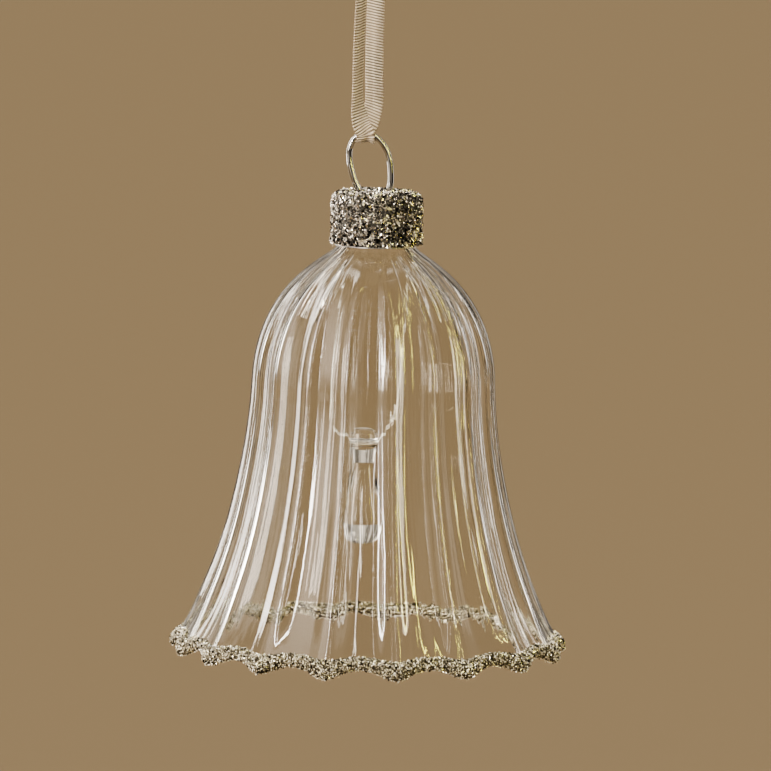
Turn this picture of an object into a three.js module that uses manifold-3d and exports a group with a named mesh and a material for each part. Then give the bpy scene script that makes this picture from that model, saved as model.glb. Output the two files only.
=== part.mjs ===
// A blown-glass bell ornament: a fluted clear bell with a glittered wavy rim, a glittered metal cap with a
// spring-wire hanger, a glass drop for a clapper on a loop of nylon thread, and a ribbon to hang it by.
// Millimetres and degrees, z up. The origin is the hang point, where a twig carries the ribbon's knot.
import * as THREE from 'three';
import { mergeVertices } from 'three/addons/utils/BufferGeometryUtils.js';
import Module from 'manifold-3d';

const wasm = await Module();
wasm.setup();

// ---- Driving dimensions ----

const CLEARANCE = 0.3; // between pieces that move or only rest on each other
const GLUE_LINE = 0.15; // between a glitter coat and what it is glued to

// Glass bell. Radii are to the outside of the ridges, heights are above the rim between two scallops.
const BELL_HEIGHT = 70.8; // rim to the underside of the cap
const NECK_RADIUS = 6.9;
const NECK_LENGTH = 7.6; // the part inside the cap
const NECK_BEND = 1.8; // how far the shoulder's curve holds the neck straight
const SIDE_RADIUS = 22.0; // where the round shoulder ends and the side runs nearly straight down
const SHOULDER_DROP = 24.9; // underside of the cap to that place
const SHOULDER_PULL = 19.1; // how far the shoulder's curve holds the side straight
const SIDE_PULL = 16.0; // how far the flare's curve holds it
const SIDE_LEAN = 0.65; // how far the side widens over each pull
const RIM_RADIUS = 35.0;
const FLARE_REACH = 7.1; // the rim's last sweep, outwards and down
const FLARE_DROP = 9.1;
const GLASS_WALL = 0.9;

const FLUTES = 18;
const FLUTE_DEPTH = 1.5; // ridge to valley at the rim
const FLUTE_FIRST = 11.5; // the first ridge's bearing, from the front towards +x
const FLUTE_DRIFT = 5.0; // hand-blown flutes are wider on one side
const FLUTE_DRIFT_FROM = 45.0;
const RIDGE_SHARPNESS = 2.0; // 1 is a plain wave, more makes the ridges narrower than the valleys
const SCALLOP_DIP = 1.1; // how far a ridge's tip hangs below the rim between scallops
const SCALLOP_SPAN = 10.0; // height over which the dip fades out

// Glitter on the rim: a bead with the glass edge in its groove.
const RIM_BEAD_COVER = 1.1; // how far it climbs the glass between scallops
const RIM_BEAD_THICK = 0.75;
const RIM_BEAD_TIP = 1.9; // extra below each scallop's tip, where the glue ran down in a drop
const RIM_BEAD_BULGE = 0.65; // extra thickness of the drop, on each face

// Metal cap and its glitter coat
const CAP_WALL = 0.45;
const CAP_HEIGHT = 9.1;
const CAP_CORNER = 1.4;
const COAT_THICK = 0.55;
const COAT_LIP = 0.25; // the coat is thicker at the cap's open edge

// Hanger: one bent wire, a ring above the cap and two sprung legs below it
const WIRE_DIAMETER = 1.1;
const RING_WIDTH = 8.3;
const RING_RISE = 10.1; // cap's glitter to the wire's centre at the top
const RING_BELLY = 5.4; // height of the ring's widest place
const RING_FOOT = 5.6; // between the wire's centres where they enter the cap
const RING_SHIFT = -0.6; // the ring's foot stands off the bell's axis
const RING_LEAN = 9.5; // the ring is bent over towards -x
const LEG_LENGTH = 15.5;
const LEG_SPLAY = 29;
const LEG_INSET = 0.25; // room for the bend between the neck and the splay

// Clapper: a clear glass drop with a cross hole, on a loop of nylon thread tied to both legs
const THREAD_DIAMETER = 0.35;
const THREAD_KNOT = 0.4; // radius of the wrapped thread that grips the wire
const TIE_ALONG = 4.2; // from the neck's edge down the leg to the knot
const LOOP_RADIUS = 5.45;
const LOOP_SHIFT = -1.6; // the loop hangs off the bell's axis
const LOOP_DROP = 30.65; // underside of the cap to the centre of the loop's round end
const DROP_HEAD = 4.9; // diameters
const DROP_WAIST = 4.5;
const DROP_BELLY = 8.4;
const DROP_LENGTH = 21.0;
const DROP_HEAD_LENGTH = 6.6;
const DROP_EYE_DEPTH = 2.9; // top of the head to the thread

// Ribbon, as a flat cord. Each strand's route is listed from the knot down to the turn under the ring.
const RIBBON_WIDTH = 3.4;
const RIBBON_THICKNESS = 0.6;
const KNOT_RADIUS = 2.7;
const TAIL_LENGTH = 9.0;
const TAIL_SPREAD = 32;
const TURN_PLACE = [-1.0, 0, -76.1]; // the middle of the wire the ribbon turns under
const TURN_SLACK = 0.15; // the strip is made in straight lengths, which cut inside the turn
const FRONT_STRAND = [
  [-0.8, -1.5, -0.3], [-0.8, -1.6, -3], [-0.9, -1.8, -8], [-1.1, -1.9, -16], [-1.4, -1.9, -26],
  [-1.8, -1.8, -37], [-2.2, -1.7, -48], [-2.5, -1.6, -58], [-2.6, -1.5, -66], [-2.5, -1.6, -70.5],
  [-1.8, -1.8, -74.2],
];
const BACK_STRAND = [
  [0.8, 1.5, -0.3], [0.8, 1.6, -3], [0.8, 1.8, -8], [0.8, 1.9, -16], [0.7, 1.9, -26],
  [0.6, 1.8, -37], [0.4, 1.7, -48], [0.3, 1.6, -58], [0.3, 1.5, -66], [0.4, 1.6, -70.5],
  [-0.3, 1.8, -74.2],
];

// ---- Materials ----

const clearGlass = new THREE.MeshStandardMaterial({
  color: 0xf2efe4, roughness: 0.03, metalness: 0, transparent: true, opacity: 0.35,
});
const silverGlitter = new THREE.MeshStandardMaterial({ color: 0xb9b3a6, roughness: 0.4, metalness: 0.7 });
const champagneGlitter = new THREE.MeshStandardMaterial({
  color: 0xd8d2b4, roughness: 0.4, metalness: 0.4,
});
const tinplate = new THREE.MeshStandardMaterial({ color: 0xa8a7a3, roughness: 0.35, metalness: 1 });
const steelWire = new THREE.MeshStandardMaterial({ color: 0xc9c8c4, roughness: 0.12, metalness: 1 });
const nylon = new THREE.MeshStandardMaterial({ color: 0xe9e4d8, roughness: 0.2, metalness: 0 });
const grosgrain = new THREE.MeshStandardMaterial({ color: 0xcfc4ad, roughness: 0.7, metalness: 0 });

// ---- Helpers ----

const radians = THREE.MathUtils.degToRad;

function tubeAlong(path, radius, steps, sides = 8) {
  const section = new THREE.Shape();
  for (let i = 0; i < sides; i += 1) {
    const turn = (2 * Math.PI * i) / sides;
    const place = [radius * Math.cos(turn), radius * Math.sin(turn)];
    if (i === 0) section.moveTo(...place);
    else section.lineTo(...place);
  }
  section.closePath();
  return new THREE.ExtrudeGeometry(section, { steps, extrudePath: path, curveSegments: 1 });
}

// A profile of [radius, height] pairs turned about z. It starts on the axis, runs down the outside and
// comes back to the axis; LatheGeometry takes it the other way round.
function turned(profile, sides) {
  const points = profile.map(([radius, height]) => new THREE.Vector2(radius, height));
  return new THREE.LatheGeometry(points.reverse(), sides).rotateX(Math.PI / 2);
}

// A ring-shaped skin from closed sections, one for each bearing round the z axis.
function skinOf(sections) {
  const rows = sections[0].length;
  const positions = sections.flat().flatMap((point) => [point.x, point.y, point.z]);
  const faces = [];
  sections.forEach((_, column) => {
    const next = (column + 1) % sections.length;
    for (let row = 0; row < rows; row += 1) {
      const below = (row + 1) % rows;
      const [a, b] = [column * rows + row, column * rows + below];
      const [c, d] = [next * rows + row, next * rows + below];
      faces.push(a, b, d, a, d, c);
    }
  });
  const geometry = new THREE.BufferGeometry();
  geometry.setAttribute('position', new THREE.Float32BufferAttribute(positions, 3));
  geometry.setIndex(faces);
  geometry.computeVertexNormals();
  return geometry;
}

function solidFrom(geometry) {
  const bare = geometry.clone();
  bare.deleteAttribute('normal');
  bare.deleteAttribute('uv');
  const merged = mergeVertices(bare, 1e-4);
  return new wasm.Manifold(new wasm.Mesh({
    numProp: 3,
    vertProperties: merged.attributes.position.array,
    triVerts: new Uint32Array(merged.index.array),
  }));
}

function geometryFrom(solid) {
  const { vertProperties, triVerts } = solid.getMesh();
  const geometry = new THREE.BufferGeometry();
  geometry.setAttribute('position', new THREE.BufferAttribute(vertProperties, 3));
  geometry.setIndex(new THREE.BufferAttribute(triVerts, 1));
  geometry.computeVertexNormals();
  return geometry;
}

function cut(geometry, ...tools) {
  const solid = tools.reduce((left, tool) => left.subtract(solidFrom(tool)), solidFrom(geometry));
  return geometryFrom(solid);
}

function named(name, geometry, material) {
  const mesh = new THREE.Mesh(geometry, material);
  mesh.name = name;
  return mesh;
}

// ---- Glass bell ----

const wireRadius = WIRE_DIAMETER / 2;
const sideHeight = BELL_HEIGHT - SHOULDER_DROP;

const shoulderCurve = new THREE.CubicBezierCurve(
  new THREE.Vector2(NECK_RADIUS, BELL_HEIGHT),
  new THREE.Vector2(NECK_RADIUS, BELL_HEIGHT - NECK_BEND),
  new THREE.Vector2(SIDE_RADIUS - SIDE_LEAN, sideHeight + SHOULDER_PULL),
  new THREE.Vector2(SIDE_RADIUS, sideHeight),
);
const flareCurve = new THREE.CubicBezierCurve(
  new THREE.Vector2(SIDE_RADIUS, sideHeight),
  new THREE.Vector2(SIDE_RADIUS + SIDE_LEAN, sideHeight - SIDE_PULL),
  new THREE.Vector2(RIM_RADIUS - FLARE_REACH, FLARE_DROP),
  new THREE.Vector2(RIM_RADIUS, 0),
);

// Rows of the bell's outline, from the neck's open end to the rim. Each has the outward normal of the wall.
function outlineRows() {
  const level = new THREE.Vector2(1, 0);
  const rows = [
    { place: new THREE.Vector2(NECK_RADIUS, BELL_HEIGHT + NECK_LENGTH), normal: level },
  ];
  const follow = (curve, share) => {
    const along = curve.getTangent(share);
    rows.push({ place: curve.getPoint(share), normal: new THREE.Vector2(-along.y, along.x) });
  };
  [0, 0.12, 0.26, 0.42, 0.6, 0.8].forEach((share) => follow(shoulderCurve, share));
  [0, 0.25, 0.48, 0.68, 0.84].forEach((share) => follow(flareCurve, share));
  const coverShare = 1 - RIM_BEAD_COVER / flareCurve.getLength() - 0.02;
  [coverShare, 1].forEach((share) => follow(flareCurve, share));
  return rows;
}

// 1 along a ridge, 0 in the valley between two, with share counting flutes.
function ridge(share, sharpness) {
  return ((1 + Math.cos(2 * Math.PI * share)) / 2) ** sharpness;
}

function bearing(share) {
  const even = FLUTE_FIRST + (360 * share) / FLUTES;
  return radians(even + FLUTE_DRIFT * Math.sin(radians(even - FLUTE_DRIFT_FROM)));
}

// A point of the fluted wall, from a place in the outline, at a bearing that share counts in flutes.
function onWall(place, share) {
  const deep = (FLUTE_DEPTH * (place.x - NECK_RADIUS)) / (RIM_RADIUS - NECK_RADIUS);
  const radius = place.x - Math.max(deep, 0) * (1 - ridge(share, RIDGE_SHARPNESS));
  const fade = 1 - THREE.MathUtils.smoothstep(place.y, 0, SCALLOP_SPAN);
  const height = place.y - SCALLOP_DIP * ridge(share, RIDGE_SHARPNESS) * fade;
  const turn = bearing(share);
  return new THREE.Vector3(radius * Math.sin(turn), -radius * Math.cos(turn), height);
}

const COLUMNS_PER_FLUTE = 4;
const columnShares = Array.from(
  { length: FLUTES * COLUMNS_PER_FLUTE },
  (_, column) => column / COLUMNS_PER_FLUTE,
);
const rows = outlineRows();

function offWall(row, distance) {
  return row.place.clone().addScaledVector(row.normal, distance);
}

function glassBell() {
  const sections = columnShares.map((share) => {
    const outside = rows.map((row) => onWall(row.place, share));
    const inside = rows.map((row) => onWall(offWall(row, -GLASS_WALL), share)).reverse();
    return [...outside, ...inside];
  });
  return named('glass_bell', skinOf(sections), clearGlass);
}

// The bead's section is a ring of glitter round the glass edge, open on top where the glass stands in it.
function rimGlitter() {
  const [lip, edge] = rows.slice(-2);
  const down = new THREE.Vector2(edge.normal.y, -edge.normal.x);
  const outer = GLUE_LINE;
  const inner = -GLASS_WALL - GLUE_LINE;
  const thin = 0.45 * RIM_BEAD_THICK;
  const sections = columnShares.map((share) => {
    const tip = ridge(share, RIDGE_SHARPNESS);
    const thick = RIM_BEAD_THICK + RIM_BEAD_BULGE * tip;
    const belly = 0.5 * RIM_BEAD_TIP * tip;
    const low = GLUE_LINE + RIM_BEAD_THICK + RIM_BEAD_TIP * tip;
    const under = (distance, reach) => offWall(edge, distance).addScaledVector(down, reach);
    const outline = [
      offWall(lip, outer), offWall(lip, outer + thin),
      under(outer + thick, belly), under(0.2 * outer, low),
      under(-GLASS_WALL, low), under(inner - thick, belly),
      offWall(lip, inner - thin), offWall(lip, inner),
      under(inner, GLUE_LINE), under(outer, GLUE_LINE),
    ];
    return outline.map((place) => onWall(place, share));
  });
  return named('rim_glitter', skinOf(sections), champagneGlitter);
}

// ---- Cap, its glitter and the hanger ----

const capInside = NECK_RADIUS + CLEARANCE;
const capOutside = capInside + CAP_WALL;
const capTop = BELL_HEIGHT + CAP_HEIGHT;
const coatTop = capTop + GLUE_LINE + COAT_THICK;

// A round-cornered cup's profile from its open edge to the axis.
function cupSide(radius, top, corner, bottom) {
  const side = [[radius, bottom]];
  for (let turn = 0; turn <= 90; turn += 30) {
    const across = radius - corner + corner * Math.cos(radians(turn));
    side.push([across, top - corner + corner * Math.sin(radians(turn))]);
  }
  return [...side, [0, top]];
}

const ringHalf = (RING_WIDTH - WIRE_DIAMETER) / 2;

// Half the ring's width at a height above the cap's glitter.
function ringHalfAt(height) {
  if (height >= RING_BELLY) {
    return ringHalf * Math.sqrt(1 - ((height - RING_BELLY) / (RING_RISE - RING_BELLY)) ** 2);
  }
  const foot = RING_FOOT / 2 / ringHalf;
  const narrowing = ((RING_BELLY - height) / RING_BELLY) ** 2 * (1 - foot ** 2);
  return ringHalf * Math.sqrt(1 - narrowing);
}

function ringPoint(side, height) {
  const middle = RING_SHIFT - Math.tan(radians(RING_LEAN)) * height;
  return new THREE.Vector3(middle + side * ringHalfAt(height), 0, coatTop + height);
}

// The legs spring out against the inside edge of the neck, and splay from there.
function legPoint(side, along) {
  const pressed = NECK_RADIUS - GLASS_WALL - CLEARANCE - wireRadius - LEG_INSET;
  const splay = radians(LEG_SPLAY);
  return new THREE.Vector3(
    side * (pressed + along * Math.sin(splay)), 0, BELL_HEIGHT - along * Math.cos(splay),
  );
}

const ringHeights = [0, 1.8, 3.6, 5.4, 7.3, 8.8, 9.7].map((height) => (height * RING_RISE) / 10.1);

function hangerHalf(side) {
  const legs = [1, 0.5, 0.08].map((share) => legPoint(side, share * LEG_LENGTH));
  const inCap = legPoint(side, 0).lerp(ringPoint(side, 0), 0.5);
  return [...legs, inCap, ...ringHeights.map((height) => ringPoint(side, height))];
}

const hangerPath = new THREE.CatmullRomCurve3([
  ...hangerHalf(-1), ringPoint(0, RING_RISE), ...hangerHalf(1).reverse(),
], false, 'centripetal');

function capPieces() {
  const hole = tubeAlong(hangerPath, wireRadius + CLEARANCE, 90);
  const inside = [[0, capTop - CAP_WALL], [capInside, capTop - CAP_WALL], [capInside, BELL_HEIGHT]];
  const cap = [...cupSide(capOutside, capTop, CAP_CORNER, BELL_HEIGHT).reverse(), ...inside.reverse()];
  const clear = capOutside + GLUE_LINE;
  const full = clear + COAT_THICK;
  const corner = CAP_CORNER + GLUE_LINE;
  const skinSide = cupSide(full, coatTop, corner + COAT_THICK, BELL_HEIGHT + 1.6).reverse();
  const lip = [[full + COAT_LIP, BELL_HEIGHT + 0.7], [full, BELL_HEIGHT]];
  const coat = [...skinSide, ...lip, ...cupSide(clear, capTop + GLUE_LINE, corner, BELL_HEIGHT)];
  return [
    named('cap', cut(turned(cap, 32), hole), tinplate),
    named('cap_glitter', cut(turned(coat, 32), hole), silverGlitter),
  ];
}

function hangerWire() {
  return named('hanger_wire', tubeAlong(hangerPath, wireRadius, 72), steelWire);
}

// ---- Clapper on its thread ----

const loopHeight = BELL_HEIGHT - LOOP_DROP;
const threadRadius = THREAD_DIAMETER / 2;

// A ring of wrapped thread round a leg of the hanger.
function threadKnot(name, side) {
  const around = wireRadius + CLEARANCE + THREAD_KNOT;
  const knot = named(name, new THREE.TorusGeometry(around, THREAD_KNOT, 6, 12), nylon);
  knot.position.copy(legPoint(side, TIE_ALONG));
  knot.rotation.y = side * radians(180 - LEG_SPLAY);
  return knot;
}

// The strand starts just under the knot, on the side of the leg that faces the axis.
function strandTop(side) {
  const under = wireRadius + CLEARANCE + THREAD_KNOT;
  const tie = legPoint(side, TIE_ALONG);
  tie.x -= side * under * Math.cos(radians(LEG_SPLAY));
  tie.z -= under * Math.sin(radians(LEG_SPLAY)) + THREAD_KNOT + CLEARANCE;
  return tie;
}

function threadPath() {
  const arc = [];
  for (let turn = 180; turn <= 360; turn += 22.5) {
    arc.push(new THREE.Vector3(
      LOOP_SHIFT + LOOP_RADIUS * Math.cos(radians(turn)), 0,
      loopHeight + LOOP_RADIUS * Math.sin(radians(turn)),
    ));
  }
  const left = strandTop(-1);
  const right = strandTop(1);
  return new THREE.CatmullRomCurve3([
    left, left.clone().lerp(arc[0], 0.5), ...arc, right.clone().lerp(arc.at(-1), 0.5), right,
  ], false, 'centripetal');
}

function clapperDrop() {
  const head = DROP_HEAD / 2;
  const belly = DROP_BELLY / 2;
  const bodyLength = DROP_LENGTH - DROP_HEAD_LENGTH;
  const outline = new THREE.SplineCurve([
    [head, -1.2], [head, 1.2 - DROP_HEAD_LENGTH], [DROP_WAIST / 2, -DROP_HEAD_LENGTH],
    [0.6 * head + 0.4 * belly, -DROP_HEAD_LENGTH - 0.3 * bodyLength],
    [belly, -DROP_HEAD_LENGTH - 0.66 * bodyLength], [0.72 * belly, 1.1 - DROP_LENGTH],
    [0.3 * belly, 0.12 - DROP_LENGTH],
  ].map(([radius, height]) => new THREE.Vector2(radius, height)));
  const side = outline.getPoints(16).map((point) => [point.x, point.y]);
  const profile = [[0, 0], [head - 0.7, 0], [head - 0.2, -0.4], ...side, [0, -DROP_LENGTH]];
  // The thread curves through a straight hole, so the hole clears the curve's rise across the head.
  const rise = LOOP_RADIUS - Math.sqrt(LOOP_RADIUS ** 2 - head ** 2);
  const eyeRadius = threadRadius + rise / 2 + CLEARANCE;
  const eye = new THREE.CylinderGeometry(eyeRadius, eyeRadius, 2 * DROP_HEAD, 12);
  eye.rotateZ(Math.PI / 2).translate(0, 0, rise / 2 - DROP_EYE_DEPTH);
  const drop = named('clapper_drop', cut(turned(profile, 24), eye), clearGlass);
  drop.position.set(LOOP_SHIFT, 0, loopHeight - LOOP_RADIUS + DROP_EYE_DEPTH);
  return drop;
}

// ---- Ribbon and its knot ----

// The ring's arch bears on the ribbon's edges, so the turn clears the wire there as the bell swings.
function turnRadius() {
  const share = RIBBON_WIDTH / 2 / ringHalf;
  const flat = Math.sqrt(1 - share ** 2);
  const arch = RING_RISE - RING_BELLY;
  const slope = (arch / ringHalf) * (share / flat);
  const wireReach = arch * (1 - flat) + wireRadius * Math.hypot(1, slope);
  return wireReach + CLEARANCE + TURN_SLACK + RIBBON_THICKNESS / 2;
}

function ribbonTurn() {
  const places = [];
  for (let turn = 180; turn <= 360; turn += 30) {
    const [across, up] = [Math.cos(radians(turn)), Math.sin(radians(turn))];
    places.push([TURN_PLACE[0], turnRadius() * across, TURN_PLACE[2] + turnRadius() * up]);
  }
  return places;
}

const ribbonPath = new THREE.CatmullRomCurve3(
  [...FRONT_STRAND, ...ribbonTurn(), ...BACK_STRAND.toReversed()]
    .map((place) => new THREE.Vector3(...place)),
  false, 'centripetal',
);

// A flat strip's section with its edges eased, long across x at the route's start.
function ribbonSection() {
  const across = RIBBON_WIDTH / 2;
  const thick = RIBBON_THICKNESS / 2;
  const eased = 0.5 * thick;
  return new THREE.Shape([
    [across, eased], [across - eased, thick], [eased - across, thick], [-across, eased],
    [-across, -eased], [eased - across, -thick], [across - eased, -thick], [across, -eased],
  ].map((place) => new THREE.Vector2(...place)));
}

function ribbonLoop() {
  const strip = new THREE.ExtrudeGeometry(ribbonSection(), { steps: 110, extrudePath: ribbonPath });
  return named('ribbon_loop', strip, grosgrain);
}

function ribbonKnot() {
  const ball = new THREE.SphereGeometry(KNOT_RADIUS, 16, 10);
  const tail = (side) => new THREE.BoxGeometry(RIBBON_WIDTH, RIBBON_THICKNESS, TAIL_LENGTH)
    .translate(0, 0, KNOT_RADIUS + TAIL_LENGTH / 2 - 0.8)
    .rotateX(side * radians(TAIL_SPREAD));
  const whole = solidFrom(ball).add(solidFrom(tail(1))).add(solidFrom(tail(-1)));
  const knot = named('ribbon_knot', geometryFrom(whole), grosgrain);
  knot.position.z = KNOT_RADIUS;
  return knot;
}

// ---- Assembly ----

// The bell hangs with the top of its ring at the middle of the ribbon's turn.
const bell = new THREE.Group();
bell.position.copy(new THREE.Vector3(...TURN_PLACE).sub(ringPoint(0, RING_RISE)));
bell.add(
  glassBell(), rimGlitter(), ...capPieces(), hangerWire(),
  threadKnot('thread_knot_left', -1), threadKnot('thread_knot_right', 1),
  named('clapper_thread', tubeAlong(threadPath(), threadRadius, 72), nylon), clapperDrop(),
);

const ornament = new THREE.Group();
ornament.add(ribbonLoop(), ribbonKnot(), bell);

export default ornament;
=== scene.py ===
import math
import random

import bmesh
import bpy
import numpy as np
from mathutils import Matrix, Vector


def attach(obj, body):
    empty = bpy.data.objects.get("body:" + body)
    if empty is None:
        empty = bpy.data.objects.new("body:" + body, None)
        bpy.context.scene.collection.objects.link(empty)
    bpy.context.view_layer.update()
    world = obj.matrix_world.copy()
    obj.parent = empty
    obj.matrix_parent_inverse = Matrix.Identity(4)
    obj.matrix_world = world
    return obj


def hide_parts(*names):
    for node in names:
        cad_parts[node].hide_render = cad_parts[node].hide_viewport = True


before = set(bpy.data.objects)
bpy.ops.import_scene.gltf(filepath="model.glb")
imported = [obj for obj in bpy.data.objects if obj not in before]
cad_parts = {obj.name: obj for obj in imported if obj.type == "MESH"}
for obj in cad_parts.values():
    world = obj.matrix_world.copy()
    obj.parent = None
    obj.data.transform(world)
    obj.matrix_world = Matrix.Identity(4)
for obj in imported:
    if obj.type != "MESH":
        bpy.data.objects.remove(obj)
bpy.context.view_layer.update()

# ---- Camera ----
# A long lens a little above the rim, turned slightly so that the ornament leans to the right.

mm = 0.001
eye_height = math.radians(6.75)
eye_distance = 1.2
eye_target = Vector((3.49, 0, -121.4)) * mm
eye_roll = math.radians(1.2)
seen_width = 138.8 * mm

lens = bpy.data.cameras.new("camera")
lens.sensor_width = 36
lens.lens = lens.sensor_width * eye_distance / seen_width
lens.clip_end = 100
camera = bpy.data.objects.new("camera", lens)
bpy.context.scene.collection.objects.link(camera)
bpy.context.scene.camera = camera
bpy.context.scene.view_settings.look = "AgX - High Contrast"
camera.location = eye_target + eye_distance * Vector((0, -math.cos(eye_height), math.sin(eye_height)))
camera.rotation_euler = (
    Matrix.Rotation(math.pi / 2 - eye_height, 3, "X") @ Matrix.Rotation(eye_roll, 3, "Z")
).to_euler()

# ---- Ribbon loop ----
# Narrow cream grosgrain, woven with cross ribs and a firm selvedge. It comes down from the knot, passes
# through the ring of the hanger, cups round the wire and goes back up behind, where it faces forward.

ribbon_width = 3.4 * mm
ribbon_thick = 0.28 * mm
rib_pitch = 0.5 * mm
turn_place = Vector((-1.0, 0, -76.1)) * mm
turn_radius = 1.58 * mm
front_strand = [
    (-0.8, -1.5, -0.3), (-0.8, -1.6, -3), (-0.9, -1.8, -8), (-1.1, -1.9, -16), (-1.4, -1.9, -26),
    (-1.8, -1.8, -37), (-2.2, -1.7, -48), (-2.5, -1.6, -58), (-2.6, -1.5, -66), (-2.5, -1.6, -70.5),
    (-1.8, -1.8, -74.2),
]
back_strand = [
    (0.8, 1.5, -0.3), (0.8, 1.6, -3), (0.8, 1.8, -8), (0.8, 1.9, -16), (0.7, 1.9, -26),
    (0.6, 1.8, -37), (0.4, 1.7, -48), (0.3, 1.6, -58), (0.3, 1.5, -66), (0.4, 1.6, -70.5),
    (-0.3, 1.8, -74.2),
]


def smooth_route(points, count):
    """Evenly spaced places on a centripetal Catmull-Rom curve through the points."""
    p = np.array([tuple(q) for q in points], float)
    p = np.vstack([2 * p[0] - p[1], p, 2 * p[-1] - p[-2]])
    fine = []
    for a, b, c, d in zip(p, p[1:], p[2:], p[3:]):
        ta = 0.0
        tb = ta + math.sqrt(np.linalg.norm(b - a))
        tc = tb + math.sqrt(np.linalg.norm(c - b))
        td = tc + math.sqrt(np.linalg.norm(d - c))
        for t in np.linspace(tb, tc, 60, endpoint=False):
            ab = a + (b - a) * (t - ta) / (tb - ta)
            bc = b + (c - b) * (t - tb) / (tc - tb)
            cd = c + (d - c) * (t - tc) / (td - tc)
            abc = ab + (bc - ab) * (t - ta) / (tc - ta)
            bcd = bc + (cd - bc) * (t - tb) / (td - tb)
            fine.append(abc + (bcd - abc) * (t - tb) / (tc - tb))
    fine = np.array(fine + [p[-2]])
    along = np.concatenate([[0], np.cumsum(np.linalg.norm(np.diff(fine, axis=0), axis=1))])
    places = np.linspace(0, along[-1], count)
    return np.stack([np.interp(places, along, fine[:, k]) for k in range(3)], axis=1), along[-1]


def eased(x, low, high):
    """A smooth rise from 0 at the low end to 1 at the high end."""
    share = np.clip((x - low) / (high - low), 0, 1)
    return share * share * (3 - 2 * share)


def woven_strip(name, route, width_ways, cups, narrows, width, thick, pitch):
    """A ribbed flat strip on a route. For each place it takes the way the width lies, how deep the strip
    is cupped and how far it is gathered narrower. The map runs across it, and along it in ribs."""
    columns = 20
    thread_bulge = 0.07 * mm
    fold_length = 6 * mm
    tangents = np.gradient(route, axis=0)
    tangents /= np.linalg.norm(tangents, axis=1)[:, None]
    ways = width_ways - np.sum(width_ways * tangents, axis=1)[:, None] * tangents
    ways /= np.linalg.norm(ways, axis=1)[:, None]
    faces_out = np.cross(tangents, ways)
    step = np.linalg.norm(np.diff(route, axis=0), axis=1)
    along = np.concatenate([[0], np.cumsum(step)])
    across = np.linspace(-1, 1, columns + 1)
    edge = 1 - eased(np.abs(across), 0.86, 1.0) * 0.5
    rib = 0.5 + 0.5 * np.cos(2 * np.pi * along / pitch)
    rows = []
    for side in (1, -1):
        lift = cups[:, None] * (1 - across[None, :] ** 2)
        fold = 0.35 * cups[:, None] * np.sin(across[None, :] * 5.5 + along[:, None] / fold_length)
        half = side * edge[None, :] * (thick / 2 + thread_bulge * rib[:, None])
        out = lift + fold + half
        picots = 1 + 0.05 * (np.abs(across) > 0.85)[None, :] * (rib[:, None] - 0.5)
        span = across[None, :] * narrows[:, None] * picots * width / 2
        rows.append(
            route[:, None, :] + span[..., None] * ways[:, None, :] + out[..., None] * faces_out[:, None, :]
        )
    loop = np.concatenate([rows[0], rows[1][:, ::-1]], axis=1)
    count, ring = loop.shape[:2]
    grid = np.arange(count * ring).reshape(count, ring)
    quads = np.stack(
        [grid[:-1], np.roll(grid[:-1], -1, axis=1), np.roll(grid[1:], -1, axis=1), grid[1:]], axis=-1
    ).reshape(-1, 4)
    mesh = bpy.data.meshes.new(name)
    ends = [list(grid[0][::-1]), list(grid[-1])]
    mesh.from_pydata(loop.reshape(-1, 3).tolist(), [], quads.tolist() + ends)
    mesh.update()
    mapped = mesh.uv_layers.new(name="weave")
    u = np.tile(np.concatenate([across, across[::-1]]) / 2 + 0.5, count)
    v = np.repeat(along / pitch, ring)
    corners = np.zeros(len(mesh.loops), np.int32)
    mesh.loops.foreach_get("vertex_index", corners)
    mapped.data.foreach_set("uv", np.stack([u[corners], v[corners]], axis=1).ravel())
    mesh.polygons.foreach_set("use_smooth", [True] * len(mesh.polygons))
    shape = bmesh.new()
    shape.from_mesh(mesh)
    bmesh.ops.recalc_face_normals(shape, faces=shape.faces)
    shape.to_mesh(mesh)
    shape.free()
    strip = bpy.data.objects.new(name, mesh)
    bpy.context.scene.collection.objects.link(strip)
    return strip


def put(tree, kind, inputs=None, **settings):
    """Adds a node. Each input is a plain value or the socket that feeds it."""
    node = tree.nodes.new(kind)
    for key, value in settings.items():
        setattr(node, key, value)
    for key, value in (inputs or {}).items():
        if isinstance(value, bpy.types.NodeSocket):
            tree.links.new(value, node.inputs[key])
        else:
            node.inputs[key].default_value = value
    return node


def calc(tree, operation, *values):
    """The result of a Math node."""
    return put(tree, "ShaderNodeMath", dict(enumerate(values)), operation=operation).outputs[0]


def blend_colour(tree, share, low, high):
    """A colour between two, by a share from 0 to 1."""
    low, high = (end if isinstance(end, bpy.types.NodeSocket) else (*end, 1) for end in (low, high))
    return put(tree, "ShaderNodeMix", {"Factor": share, 6: low, 7: high}, data_type="RGBA").outputs[2]


def span_of(tree, value, low, high, to_low=0.0, to_high=1.0):
    """A value mapped from one span to another, smoothly and held at the ends."""
    return put(
        tree, "ShaderNodeMapRange",
        {"Value": value, "From Min": low, "From Max": high, "To Min": to_low, "To Max": to_high},
        interpolation_type="SMOOTHSTEP",
    ).outputs[0]


def finish_of(name, **plain):
    """A material with one Principled shader. The plain values are set on the shader's own sockets."""
    material = bpy.data.materials.new(name)
    material.use_nodes = True
    tree = material.node_tree
    shader = tree.nodes["Principled BSDF"]
    for key, value in plain.items():
        shader.inputs[key.replace("_", " ")].default_value = value
    return material, tree, shader


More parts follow.
